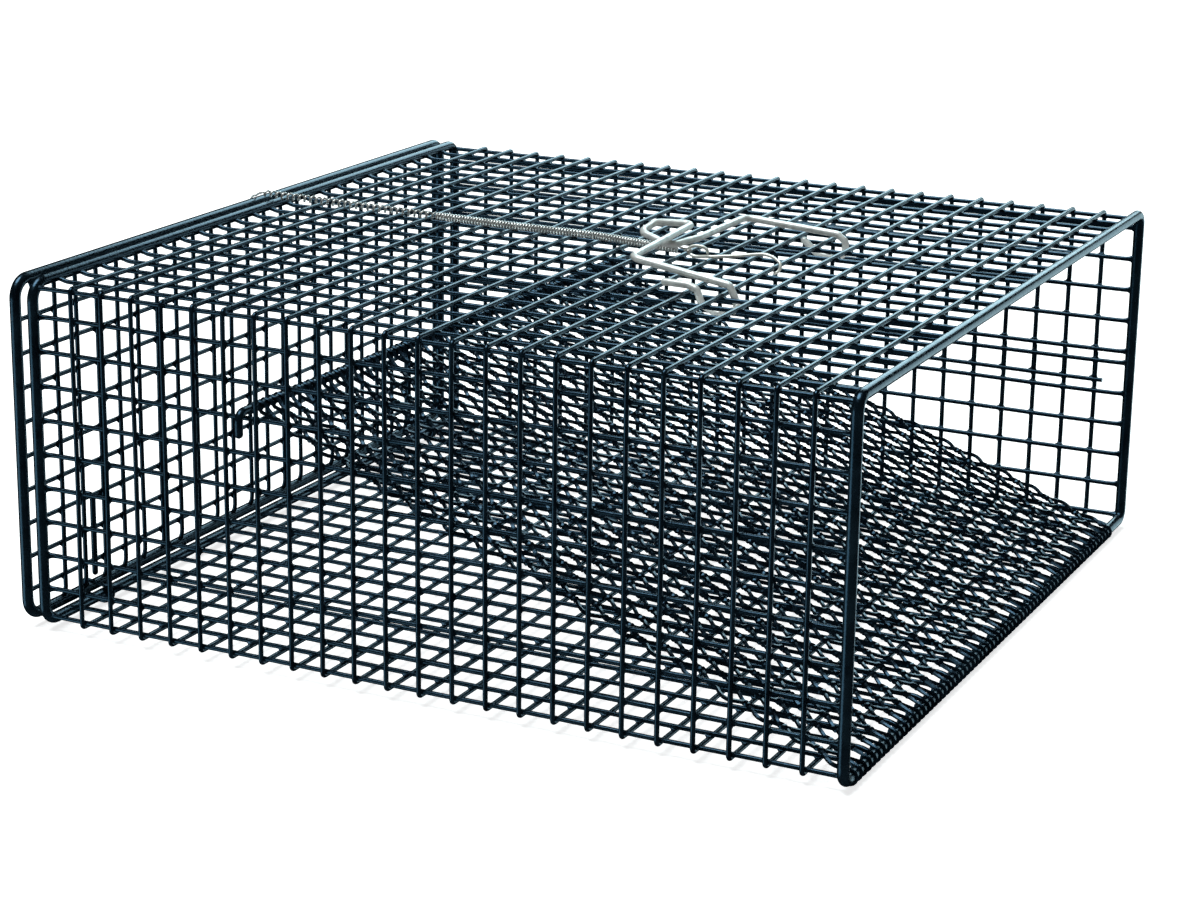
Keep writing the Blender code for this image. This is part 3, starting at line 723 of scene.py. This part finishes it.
EYE_WIRE = 0.0018
LINK_RING = EYE_WIRE / 2 + SPRING_GAP + SPRING_WIRE / 2


def spring_axis(x):
    """The coil's middle line: over the rear rod, down on the top mesh, and then aside."""
    down = min(1.0, max(0.0, (x - REAR_X) / (SPRING_DOWN_AT - REAR_X)))
    aside = max(0.0, (x - SPRING_ASIDE_FROM) / (SPRING_END - SPRING_ASIDE_FROM))
    return Vector((x, SPRING_Y - SPRING_ASIDE * aside, SPRING_HIGH + (SPRING_LOW - SPRING_HIGH) * down))


def wire_metal(name, dark, bright, metal, smoothest, roughest, grain):
    """Bare or zinc-coated wire: a metal whose tone and roughness vary in patches."""
    material = bpy.data.materials.new(name)
    material.use_nodes = True
    nodes = material.node_tree.nodes
    link = material.node_tree.links.new
    shader = nodes["Principled BSDF"]
    shader.inputs["Metallic"].default_value = metal
    place = nodes.new("ShaderNodeTexCoord").outputs["Object"]
    patches = nodes.new("ShaderNodeTexNoise")
    patches.inputs["Scale"].default_value = grain
    patches.inputs["Detail"].default_value = 4.0
    link(place, patches.inputs["Vector"])
    tone = nodes.new("ShaderNodeValToRGB")
    tone.color_ramp.elements[0].position = 0.30
    tone.color_ramp.elements[0].color = (*dark, 1.0)
    tone.color_ramp.elements[1].position = 0.62
    tone.color_ramp.elements[1].color = (*bright, 1.0)
    link(patches.outputs["Fac"], tone.inputs["Fac"])
    link(tone.outputs["Color"], shader.inputs["Base Color"])
    gloss = nodes.new("ShaderNodeMapRange")
    gloss.inputs["To Min"].default_value = roughest
    gloss.inputs["To Max"].default_value = smoothest
    link(patches.outputs["Fac"], gloss.inputs["Value"])
    link(gloss.outputs["Result"], shader.inputs["Roughness"])
    grains = nodes.new("ShaderNodeTexNoise")
    grains.inputs["Scale"].default_value = grain * 12
    link(place, grains.inputs["Vector"])
    bump = nodes.new("ShaderNodeBump")
    bump.inputs["Strength"].default_value = 0.35
    bump.inputs["Distance"].default_value = 0.0001
    link(grains.outputs["Fac"], bump.inputs["Height"])
    link(bump.outputs["Normal"], shader.inputs["Normal"])
    return material


spring_steel = wire_metal(
    "spring_steel", dark=(0.50, 0.49, 0.47), bright=(0.92, 0.91, 0.88),
    metal=0.70, smoothest=0.18, roughest=0.34, grain=160.0,
)
path = []
for degrees in range(HOOK_FROM, 1, LOOP_STEP):
    angle = math.radians(degrees)
    path.append(Vector((
        DOOR_X + HOOK_LOOP * math.sin(angle),
        SPRING_Y,
        FRAME_HIGH + HOOK_LOOP * math.cos(angle),
    )))
path.append(path[-1].lerp(spring_axis(SPRING_START), 0.5) + Vector((0, 0, LEAD_RISE)))
for step in range((OPEN_TURNS + CLOSE_TURNS) * TURN_POINTS + 1):
    turns = step / TURN_POINTS
    if turns < OPEN_TURNS:
        x = SPRING_START + (SPRING_OPEN_TO - SPRING_START) * turns / OPEN_TURNS
    else:
        x = SPRING_OPEN_TO + (SPRING_END - SPRING_OPEN_TO) * (turns - OPEN_TURNS) / CLOSE_TURNS
    angle = turns * math.tau
    ring = Vector((0, math.sin(angle), math.cos(angle)))
    path.append(spring_axis(x) + ring * SPRING_RADIUS * min(1.0, FIRST_TURN_SHARE + turns))
eye_side = EYE - Vector((EYE_HALF_LENGTH, 0, 0))
path.append(eye_side + Vector((-2 * LINK_RING, LINK_RING, 0)))
for degrees in range(LINK_FROM, LINK_TO - 1, -LOOP_STEP):
    angle = math.radians(degrees)
    path.append(eye_side + Vector((math.cos(angle), math.sin(angle), 0)) * LINK_RING)
shape = bmesh.new()
add_wire(shape, path, SPRING_WIRE, sides=8)
spring = make_piece("coil_spring", shape, spring_steel)
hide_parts("door_spring", "spring_door_hook")
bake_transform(spring)


# Spring stay
# A thin bright wire between the spring and a cross wire of the top: an upright eye at one end for the
# spring's last hook, a bowed shank, and a hook down over the cross wire.
ANCHOR_X = stations[16]
ANCHOR_Z = 0.1956
EYE_FROM = -10
EYE_TO = 300
EYE_STEP = 31
EYE_MIDDLE = 145
# The shank's places: how far along and above the cross wire, with their own y between.
SHANK = (
    (-0.0381, -0.0086, 0.0026),
    (-0.0350, -0.0085, 0.0028),
    (-0.0230, -0.0045, 0.0038),
    (-0.0143, -0.0022, 0.0050),
    (-0.0082, -0.0012, 0.0056),
    (-0.0031, -0.0014, 0.0048),
)
HOOK_RADIUS = 0.0030
HOOK_FAR_Y = -0.0022
HOOK_NEAR_Y = -0.0065
OVER_FROM = 15
OVER_TO = 165
OVER_STEP = 30


def through(places, steps):
    """The points of a springy wire that passes smoothly through these places."""
    points = []
    for index in range(len(places) - 1):
        before = places[max(0, index - 1)]
        start, stop = places[index], places[index + 1]
        after = places[min(len(places) - 1, index + 2)]
        leave = (stop - before) / 2
        arrive = (after - start) / 2
        for step in range(steps):
            share = step / steps
            square, cube = share ** 2, share ** 3
            points.append(
                start * (2 * cube - 3 * square + 1) + leave * (cube - 2 * square + share)
                + stop * (3 * square - 2 * cube) + arrive * (cube - square)
            )
    points.append(places[-1])
    return points


stay_zinc = wire_metal(
    "stay_zinc", dark=(0.62, 0.61, 0.55), bright=(0.90, 0.89, 0.82),
    metal=0.45, smoothest=0.24, roughest=0.42, grain=190.0,
)
places = []
for degrees in range(EYE_FROM, EYE_TO + 1, EYE_STEP):
    angle = math.radians(degrees)
    places.append(EYE + Vector((
        EYE_HALF_LENGTH * math.cos(angle),
        EYE_LEAN * (1 - degrees / EYE_MIDDLE),
        EYE_HALF_HEIGHT * math.sin(angle),
    )))
places += [Vector((ANCHOR_X + along, y, ANCHOR_Z + above)) for along, y, above in SHANK]
for degrees in range(OVER_FROM, OVER_TO + 1, OVER_STEP):
    angle = math.radians(degrees)
    y = HOOK_FAR_Y + (HOOK_NEAR_Y - HOOK_FAR_Y) * (degrees - OVER_FROM) / (OVER_TO - OVER_FROM)
    places.append(Vector((
        ANCHOR_X + HOOK_RADIUS * math.sin(angle),
        y,
        ANCHOR_Z + HOOK_RADIUS * math.cos(angle),
    )))
shape = bmesh.new()
dipped_wire(shape, through(places, steps=4), EYE_WIRE, sides=10)
spring_stay = make_piece("spring_stay_wire", shape, stay_zinc)
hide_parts("spring_stay")
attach(spring_stay, "root")


# Handle
# One zinc-coated wire bent to a bow that slopes up towards the door, with a rope eye in its
# crossbar. Each foot is looped round a cross wire of the top, and the near one also hooks under a
# line wire and comes back as a tail beside it.
HANDLE_WIRE = 0.0040
HANDLE_GAP = 0.0006
HANDLE_BESIDE = HANDLE_WIRE / 2 + MESH_WIRE / 2 + HANDLE_GAP
HANDLE_NEAR_Y = TOP_ROWS[7] + HANDLE_BESIDE
HANDLE_TAIL_Y = TOP_ROWS[7] - HANDLE_BESIDE
HANDLE_FAR_Y = TOP_ROWS[-8] - HANDLE_BESIDE
BOW_FOOT_UP = 0.0042
BOW_RISE = 0.0072 / 0.0546
# The bow's corners: how far towards the door from the cross wire, the y, the height off the slope and
# the bend's radius.
BOW = (
    (0.0546, HANDLE_NEAR_Y, 0.0017, 0.0052),
    (0.0580, 0.0160, 0.0024, 0.0035),
    (0.0762, 0.0055, 0.0012, 0.0075),
    (0.0770, -0.0125, -0.0012, 0.0060),
    (0.0562, -0.0200, -0.0026, 0.0060),
    (0.0514, 0.0080, -0.0026, 0.0120),
    (0.0504, HANDLE_FAR_Y, -0.0026, 0.0052),
)
# The corners of the tail and the feet: how far along and above the cross wire, and the bend's radius.
NEAR_TAIL = (
    (-0.0312, 0.0040, 0.0),
    (-0.0180, 0.0038, 0.0040),
    (-0.0128, 0.0020, 0.0030),
    (-0.0095, -0.0060, 0.0040),
    (0.0000, -0.0100, 0.0040),
    (0.0076, -0.0074, 0.0030),
)
NEAR_FOOT = (
    (0.0076, -0.0074, 0.0030),
    (0.0054, -0.0015, 0.0060),
    (0.0024, 0.0043, 0.0030),
)
FAR_FOOT = (
    (0.0060, 0.0043, 0.0040),
    (0.0112, 0.0005, 0.0040),
    (0.0110, -0.0065, 0.0040),
    (0.0040, -0.0100, 0.0050),
    (-0.0060, -0.0080, 0.0050),
    (-0.0140, -0.0012, 0.0),
)

handle_zinc = wire_metal(
    "handle_zinc", dark=(0.66, 0.68, 0.66), bright=(0.87, 0.88, 0.84),
    metal=0.35, smoothest=0.26, roughest=0.46, grain=210.0,
)
corners = []
for table, y in ((NEAR_TAIL, HANDLE_TAIL_Y), (NEAR_FOOT, HANDLE_NEAR_Y)):
    corners += [(ANCHOR_X + along, y, ANCHOR_Z + above) for along, above, bend in table]
for out, y, off, bend in BOW:
    corners.append((ANCHOR_X - out, y, ANCHOR_Z + BOW_FOOT_UP + BOW_RISE * out + off))
corners += [(ANCHOR_X + along, HANDLE_FAR_Y, ANCHOR_Z + above) for along, above, bend in FAR_FOOT]
bends = [row[-1] for row in NEAR_TAIL + NEAR_FOOT + BOW + FAR_FOOT]
shape = bmesh.new()
dipped_wire(shape, bent_path(corners, bends, BEND_STEPS), HANDLE_WIRE, sides=14)
handle = make_piece("handle_wire", shape, handle_zinc)
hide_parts("handle")
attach(handle, "handle")


# Studio
# A plain pale floor that glows faintly, one wide soft sun overhead, and a white sky that only the camera
# sees. Three glowing panels show nowhere but in the wires' reflections. The camera stands where the
# photograph was taken from.
FLOOR_SIDE = 12.0


def stage_plane(name, side, colour, glow, strength):
    """A square plane of the studio, with a plain glowing paint of its own."""
    shape = bmesh.new()
    bmesh.ops.create_grid(shape, x_segments=1, y_segments=1, size=side / 2)
    data = bpy.data.meshes.new(name)
    shape.to_mesh(data)
    shape.free()
    plane = bpy.data.objects.new(name, data)
    bpy.context.scene.collection.objects.link(plane)
    paint = bpy.data.materials.new(name)
    paint.use_nodes = True
    shader = paint.node_tree.nodes["Principled BSDF"]
    shader.inputs["Base Color"].default_value = colour
    shader.inputs["Emission Color"].default_value = glow
    shader.inputs["Emission Strength"].default_value = strength
    data.materials.append(paint)
    return plane


floor = stage_plane("floor", FLOOR_SIDE, (0.90, 0.91, 0.90, 1.0), (1.0, 1.0, 1.0, 1.0), strength=0.78)
floor.active_material.node_tree.nodes["Principled BSDF"].inputs["Roughness"].default_value = 0.9
floor.visible_glossy = False

world = bpy.data.worlds.new("studio_walls")
world.use_nodes = True
backdrop = world.node_tree.nodes["Background"]
backdrop.inputs["Color"].default_value = (1.0, 1.0, 1.0, 1.0)
backdrop.inputs["Strength"].default_value = 1.0
world.cycles_visibility.diffuse = False
world.cycles_visibility.glossy = False
bpy.context.scene.world = world
overhead_data = bpy.data.lights.new("overhead", "SUN")
overhead_data.energy = 3.4
overhead_data.color = (0.90, 0.98, 1.0)
overhead_data.angle = math.radians(40)
overhead = bpy.data.objects.new("overhead", overhead_data)
overhead.rotation_euler = Vector((0.20, 0.15, -1.0)).to_track_quat("-Z", "Y").to_euler()
bpy.context.scene.collection.objects.link(overhead)
for name, place, side, strength in (
    ("back_panel", (-0.25, 2.10, 1.30), 1.4, 4.6),
    ("right_panel", (1.00, 1.87, -0.12), 1.3, 1.8),
    ("low_panel", (-1.15, -1.28, -0.49), 1.1, 2.0),
):
    panel = stage_plane(name, side, (0.0, 0.0, 0.0, 1.0), (0.66, 0.93, 1.0, 1.0), strength)
    panel.location = place
    panel.rotation_euler = Vector(place).to_track_quat("Z", "Y").to_euler()
    panel.active_material.cycles.emission_sampling = "NONE"
    panel.visible_camera = False
    panel.visible_diffuse = False
    panel.visible_shadow = False
bpy.context.scene.view_settings.view_transform = "Standard"

camera_data = bpy.data.cameras.new("camera")
camera_data.lens = 85.06
camera_data.sensor_width = 36.0
camera_data.shift_x = 0.0833
camera_data.shift_y = -0.0417
camera = bpy.data.objects.new("camera", camera_data)
looking = Vector((-0.45039, 0.85099, -0.27012)).normalized()
upward = Vector((-0.1303, 0.23666, 0.96282))
upward = (upward - looking * upward.dot(looking)).normalized()
turned = Matrix((looking.cross(upward), upward, -looking)).transposed()
camera.matrix_world = Matrix.Translation((0.67479, -1.40479, 0.54218)) @ turned.to_4x4()
bpy.context.scene.collection.objects.link(camera)
bpy.context.scene.camera = camera
